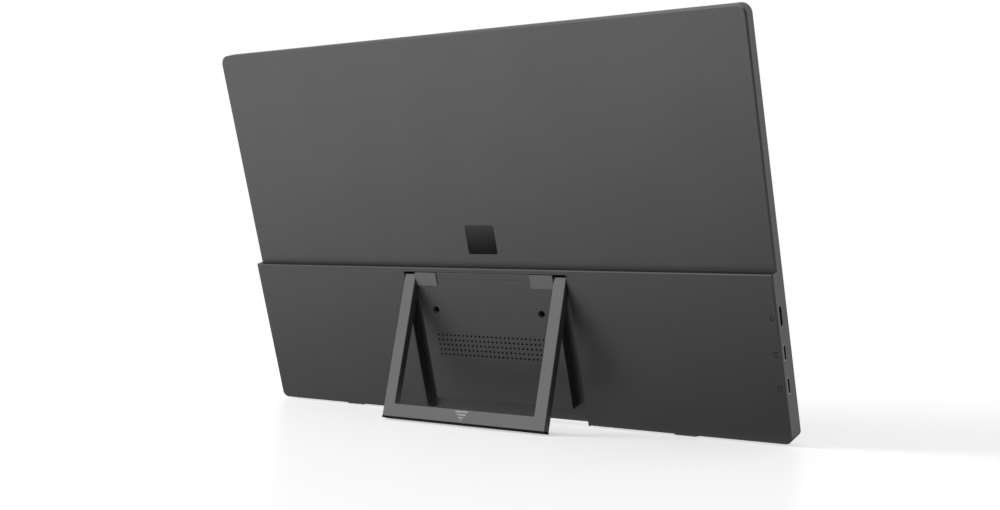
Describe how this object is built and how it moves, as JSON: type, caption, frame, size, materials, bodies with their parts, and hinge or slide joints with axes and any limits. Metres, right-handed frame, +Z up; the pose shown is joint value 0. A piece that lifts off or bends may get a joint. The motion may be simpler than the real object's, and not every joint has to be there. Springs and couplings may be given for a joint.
{
  "type": "portable monitor",
  "caption": "Flat portable monitor with a stepped rear housing, side sockets and a fold-out U-shaped stand on friction hinges that folds flush into a bay in its back.",
  "frame": {"origin": "centre of the bounding box's base, on the surface that the feet and the open stand rest on", "axes": "+X along the width to the left of someone behind the monitor, +Y out of the back, +Z up; the screen faces -Y and leans back"},
  "size_m": [0.3602, 0.0673, 0.2195],
  "materials": {
    "bezel_plastic": "fine satin",
    "screen_glass": "anti-glare dark glass",
    "clear_acrylic": "clear acrylic",
    "bright_metal": "nickel plated",
    "housing_plastic": "fine matt texture",
    "badge_gloss": "gloss",
    "insert_steel": "dark plated steel, turned",
    "foot_rubber": "matt rubber",
    "board_green": "solder mask",
    "heat_aluminium": "extruded",
    "socket_plastic": "moulded",
    "cable_plastic": "flat cable",
    "screw_steel": "zinc plated",
    "hinge_steel": "ground steel",
    "stand_paint": "fine matt paint",
    "button_plastic": "moulded"
  },
  "bodies": {
    "monitor": {"front_bezel": "bezel_plastic", "display_glass": "screen_glass", "light_guide": "clear_acrylic", "backlight_tray": "bright_metal", "rear_cover": "housing_plastic", "stand_bay": "housing_plastic", "badge_inlay": "badge_gloss", "mount_inserts": "insert_steel", "rubber_foot_left": "foot_rubber", "rubber_foot_right": "foot_rubber", "main_board": "board_green", "heat_spreader": "heat_aluminium", "port_board": "board_green", "button_board": "board_green", "timing_board": "board_green", "video_port": "bright_metal", "upper_port": "bright_metal", "lower_port": "bright_metal", "headphone_jack": "socket_plastic", "board_cable": "cable_plastic", "button_cable": "cable_plastic", "display_cable": "cable_plastic", "board_screws": "screw_steel", "speaker_left": "socket_plastic", "speaker_right": "socket_plastic", "power_switch": "bright_metal", "rocker_switches": "bright_metal", "hinge_bracket_left": "hinge_steel", "hinge_bracket_right": "hinge_steel", "hinge_cover_left": "stand_paint", "hinge_cover_right": "stand_paint", "hinge_screws": "screw_steel"},
    "stand": {"stand_frame": "stand_paint", "stand_foot_strip": "foot_rubber", "hinge_shaft_left": "hinge_steel", "hinge_shaft_right": "hinge_steel", "friction_washers": "hinge_steel", "shaft_nuts": "screw_steel"},
    "power_key": {"power_button": "button_plastic"},
    "menu_key": {"menu_rocker": "button_plastic"}
  },
  "joints": [
    {"name": "stand_hinge", "type": "hinge", "parent": "monitor", "child": "stand", "pos_m": [0, -0.00141, 0.08234], "axis": [1, 0, 0], "range_deg": [-30, 60]},
    {"name": "power_press", "type": "slide", "parent": "monitor", "child": "power_key", "axis": [-1, 0, 0], "range_m": [0, 0.0005], "stiffness_N_per_m": 2500, "springref_m": -0.0004},
    {"name": "menu_rock", "type": "hinge", "parent": "monitor", "child": "menu_key", "pos_m": [0.1768, -0.01217, 0.05171], "axis": [0, 0.9629, -0.2698], "range_deg": [-2.5, 2.5], "stiffness_Nm_per_rad": 0.2}
  ]
}
